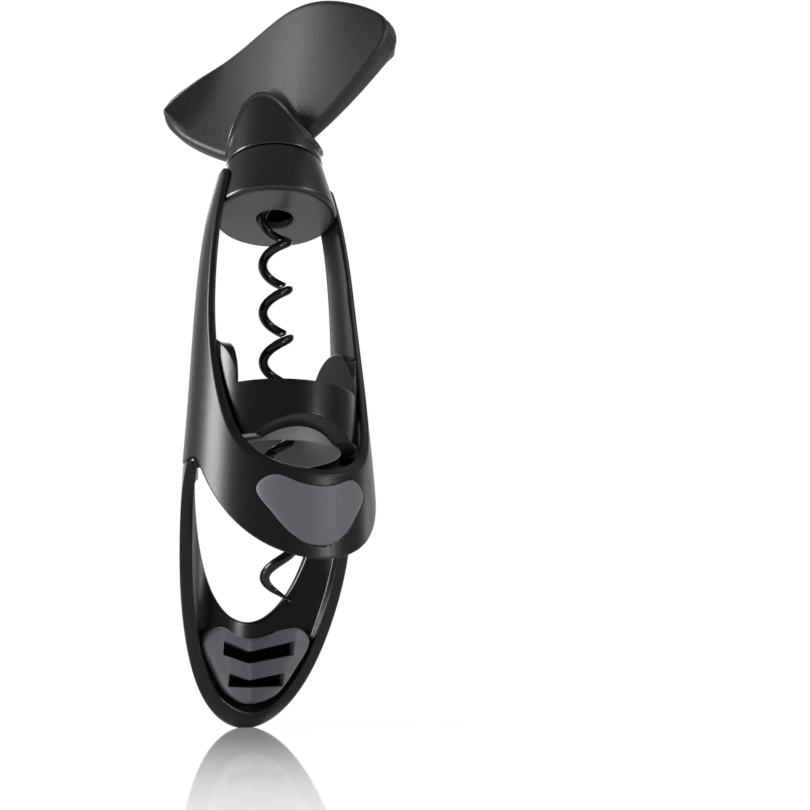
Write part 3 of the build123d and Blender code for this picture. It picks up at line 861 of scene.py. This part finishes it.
def build_blade():
    """Rounded rectangles carried along the span and leaned.

    Low and high edge, thickness and lean are functions of the distance from the axis. The ends are drawn in
    over a quarter round, one face of each wing has a crease, and both faces run into the core in a fillet.
    """
    tip, tip_share, corner, round_radius, round_share = 38.2, 0.992, 1.4, 2.1, 0.92
    stations, face_points, bend_points = 261, 96, 8
    bunched_share, even_share = 0.55, 0.45
    low_middle, low_slope, low_curve, low_start = 79.8, 0.56, 0.009, -4.0
    high_middle, high_drop, high_power = 121.5, 14.8, 2.1
    thin, thickening, thick_power = 3.8, 3.8, 1.3
    end_share, end_power, end_length = 0.995, 24, 0.84
    most_lean = 4.1
    quarter = np.linspace(0.0, QUARTER_TURN, bend_points + 1)[1:]
    sine, cosine = np.sin(quarter), np.cos(quarter)
    bunched = np.sin(np.linspace(-QUARTER_TURN, QUARTER_TURN, stations))
    even = np.linspace(-1.0, 1.0, stations)
    reach = tip_share * tip - corner
    between = (bunched * bunched_share + even * even_share) * reach
    end = reach + corner * sine
    span = np.concatenate([-end[::-1], between, end])[:, None]
    end_in = corner * (1.0 - cosine)
    drawn_in = np.concatenate([end_in[::-1], np.zeros(stations), end_in])[:, None]
    station = span / tip
    share = np.abs(station)
    out = np.maximum(share * tip - core_radius, low_start)
    low = low_middle + low_slope * out + low_curve * out**2
    high = high_middle - high_drop * share**high_power
    thick = thin + thickening * share**thick_power
    round_end = np.sqrt(1.0 - np.minimum(share, end_share) ** end_power)
    length = np.maximum((high - low) * round_end, end_length * thick)
    lean = most_lean * np.sin(np.pi * station)
    half_thick = 0.5 * thick - drawn_in
    half_long = 0.5 * np.hypot(length, lean) - drawn_in
    rounding = np.minimum(round_radius, round_share * half_thick)

    face = np.linspace(-1.0, 1.0, face_points)
    flat, bend = np.ones(face_points), np.ones(bend_points)
    side = np.concatenate([-flat, -bend, bend, flat, bend, -bend])
    level = np.concatenate([face, bend, bend, face[::-1], -bend, -bend])
    side_in = np.tile(np.concatenate([0.0 * flat, 1.0 - cosine, 1.0 - cosine[::-1]]), 2)
    level_in = np.tile(np.concatenate([np.abs(face), 1.0 - sine, 1.0 - sine[::-1]]), 2)
    across = side * (half_thick - side_in * rounding)
    along = level * half_long - np.sign(level) * level_in * rounding
    tilt = np.arctan2(lean, length)
    middle = 0.5 * (high + low)
    creased = side * station > 0.0
    ridge = blade_ridge(share, half_long - along, half_long + along, tip - np.abs(span))
    across = across + side * creased * ridge
    across = across + side * core_fillet(span, across, middle + along * np.cos(tilt))
    y = -0.5 * lean + across * np.cos(tilt) - along * np.sin(tilt)
    z = middle + across * np.sin(tilt) + along * np.cos(tilt)
    blade = rotate_about_axis(np.broadcast_to(span, y.shape), y, z, blade_turn)
    grids = [(end_caps(blade), False, True)]
    make_piece("blade", grids, "handle", handle_black, ["handle_blade"])


build_frame_shell()
build_front_pad()
build_lever_shell()
build_rear_jaw()
build_worm()
build_hub()
build_seat_sleeve()
build_core()
build_blade()


# Studio: a pale polished floor, a surround that is white behind the tool, and soft lamps, all in metres

white = (1.0, 1.0, 1.0, 1.0)
floor_height = cad_low[2] - 0.00002
floor_half = 6.0
floor_colour, floor_gloss, floor_mirror = (0.88, 0.88, 0.88), 0.03, 0.5
polish_fade = (0.03, 0.22)
distance_fade = (0.5, 2.5)
view_way = (0.4485, 0.8444, 0.2924)
backdrop_fade = (0.68, 0.79)
backdrop_dim = 0.3
soft_light = 0.5


def add_operation(tree, kind, operation):
    """A maths node of a kind, set to an operation."""
    node = tree.nodes.new(kind)
    node.operation = operation
    return node


def backdrop_level(tree, direction):
    """Brightness of the backdrop in a direction, by its share along the view.

    It is white behind the tool as the camera sees it and dim elsewhere.
    """
    along_view = add_operation(tree, "ShaderNodeVectorMath", "DOT_PRODUCT")
    along_view.inputs[1].default_value = view_way
    tree.links.new(direction, along_view.inputs[0])
    return map_range(tree, along_view.outputs["Value"], backdrop_fade, (backdrop_dim, 1.0), smooth=True)


def shown_rays(tree):
    """1 for rays of the camera, reflected rays and rays let through, and 0 for rays that only light."""
    path = tree.nodes.new("ShaderNodeLightPath")
    seen = add_operation(tree, "ShaderNodeMath", "MAXIMUM")
    shown = add_operation(tree, "ShaderNodeMath", "MAXIMUM")
    tree.links.new(path.outputs["Is Camera Ray"], seen.inputs[0])
    tree.links.new(path.outputs["Is Glossy Ray"], seen.inputs[1])
    tree.links.new(seen.outputs[0], shown.inputs[0])
    tree.links.new(path.outputs["Is Transmission Ray"], shown.inputs[1])
    return shown.outputs[0]


def mix_shaders(tree, share, first, second, output):
    """The first shader turns into the second by a share, and goes to the output."""
    mix = tree.nodes.new("ShaderNodeMixShader")
    tree.links.new(share, mix.inputs["Fac"])
    tree.links.new(first.outputs[0], mix.inputs[1])
    tree.links.new(second.outputs[0], mix.inputs[2])
    tree.links.new(mix.outputs[0], output.inputs["Surface"])


def build_floor():
    """Polished white floor near the tool, which fades to plain white further out.

    Far out it fades to the level of the backdrop, so no horizon shows.
    """
    mesh = bpy.data.meshes.new("floor")
    sides = ((-1, -1), (1, -1), (1, 1), (-1, 1))
    corners = [(x * floor_half, y * floor_half, floor_height) for x, y in sides]
    mesh.from_pydata(corners, [], [(0, 1, 2, 3)])
    floor = bpy.data.objects.new("floor", mesh)
    bpy.context.scene.collection.objects.link(floor)
    material, tree, shader = finish_material(
        "floor_white", floor_colour, floor_gloss, floor_mirror, coat=1.0, coat_roughness=floor_gloss,
    )
    place = tree.nodes.new("ShaderNodeTexCoord").outputs["Object"]
    distance = add_operation(tree, "ShaderNodeVectorMath", "LENGTH")
    tree.links.new(place, distance.inputs[0])
    bearing = add_operation(tree, "ShaderNodeVectorMath", "NORMALIZE")
    tree.links.new(place, bearing.inputs[0])
    level = tree.nodes.new("ShaderNodeMix")
    level.inputs["A"].default_value = 1.0
    far = map_range(tree, distance.outputs["Value"], distance_fade, (0.0, 1.0), smooth=True)
    tree.links.new(far, level.inputs["Factor"])
    tree.links.new(backdrop_level(tree, bearing.outputs["Vector"]), level.inputs["B"])
    glow = tree.nodes.new("ShaderNodeEmission")
    tree.links.new(level.outputs["Result"], glow.inputs["Strength"])
    fade = map_range(tree, distance.outputs["Value"], polish_fade, (0.0, 1.0), smooth=True)
    share = add_operation(tree, "ShaderNodeMath", "MULTIPLY")
    tree.links.new(fade, share.inputs[0])
    tree.links.new(shown_rays(tree), share.inputs[1])
    mix_shaders(tree, share.outputs[0], shader, glow, tree.nodes["Material Output"])
    mesh.materials.append(material)
    return floor


def build_world():
    """Surround: the backdrop's level in every direction.

    It shows like that to the camera and in reflections, and lights the tool with one soft level.
    """
    world = bpy.data.worlds.new("surround")
    bpy.context.scene.world = world
    world.use_nodes = True
    tree = world.node_tree
    tree.nodes.clear()
    direction = tree.nodes.new("ShaderNodeTexCoord")
    backdrop = tree.nodes.new("ShaderNodeBackground")
    backdrop.inputs["Color"].default_value = white
    tree.links.new(backdrop_level(tree, direction.outputs["Generated"]), backdrop.inputs["Strength"])
    lighting = tree.nodes.new("ShaderNodeBackground")
    lighting.inputs["Color"].default_value = white
    lighting.inputs["Strength"].default_value = soft_light
    mix_shaders(tree, shown_rays(tree), lighting, backdrop, tree.nodes.new("ShaderNodeOutputWorld"))


def add_lamp(name, place, aim_height, size, power):
    """A soft rectangular lamp, aimed at a height on the worm's axis, that the camera doesn't see."""
    data = bpy.data.lights.new(name, "AREA")
    data.shape = "RECTANGLE"
    data.size, data.size_y = size
    data.energy = power
    lamp = bpy.data.objects.new(name, data)
    bpy.context.scene.collection.objects.link(lamp)
    lamp.location = place
    lamp.visible_camera = False
    lamp.rotation_mode = "QUATERNION"
    aim = Vector((0.0, 0.0, aim_height)) - Vector(place)
    lamp.rotation_quaternion = aim.to_track_quat("-Z", "Y")
    return lamp


def keep_off_floor(floor, lamps):
    """Let these lamps light all but the floor, which would mirror their panels as bright rectangles."""
    spared = bpy.data.collections.new("spared_floor")
    spared.objects.link(floor)
    spared.collection_objects[0].light_linking.link_state = "EXCLUDE"
    for lamp in lamps:
        lamp.light_linking.receiver_collection = spared


def build_camera():
    """A camera set low in front and to the left, looking up along the tool.

    Its axis meets the square picture left of the centre. Lengths in pixels are for the photograph's size.
    """
    picture_pixels, focal_pixels, axis_column = 810, 900.0, 277.0
    azimuth, pitch, roll = np.radians([22.0, 17.09, -0.6])
    place = Vector((-83.62, -207.04, -65.18)) * MM
    level = np.array([np.sin(azimuth), np.cos(azimuth), 0.0])
    right = np.array([np.cos(azimuth), -np.sin(azimuth), 0.0])
    up = np.array([0.0, 0.0, 1.0])
    forward = level * np.cos(pitch) + up * np.sin(pitch)
    above = up * np.cos(pitch) - level * np.sin(pitch)
    tilted_right = right * np.cos(roll) + above * np.sin(roll)
    tilted_above = above * np.cos(roll) - right * np.sin(roll)
    data = bpy.data.cameras.new("camera")
    data.sensor_width = 36.0
    data.lens = data.sensor_width * focal_pixels / picture_pixels
    data.shift_x = (picture_pixels / 2 - axis_column) / picture_pixels
    data.clip_start = 0.005
    camera = bpy.data.objects.new("camera", data)
    bpy.context.scene.collection.objects.link(camera)
    turn = Matrix(np.stack([tilted_right, tilted_above, -forward], axis=1).tolist())
    camera.matrix_world = Matrix.Translation(place) @ turn.to_4x4()
    bpy.context.scene.camera = camera


floor = build_floor()
build_world()
add_lamp("left_strip", (-0.71, 0.16, 0.235), 0.02, (0.3, 0.43), 10.3)
right_strip = add_lamp("right_strip", (0.74, 0.12, 0.06), 0.0, (0.12, 0.2), 0.3)
front_strip = add_lamp("front_strip", (0.377, -0.581, 0.067), -0.03, (0.1, 0.15), 1.35)
front_fill = add_lamp("front_fill", (0.48, -0.48, 0.42), -0.06, (0.3, 0.3), 1.1)
add_lamp("back_softbox", (0.2, 0.6, 0.7), 0.05, (0.6, 0.4), 3.0)
keep_off_floor(floor, [right_strip, front_strip, front_fill])
build_camera()
bpy.context.scene.view_settings.view_transform = "Standard"
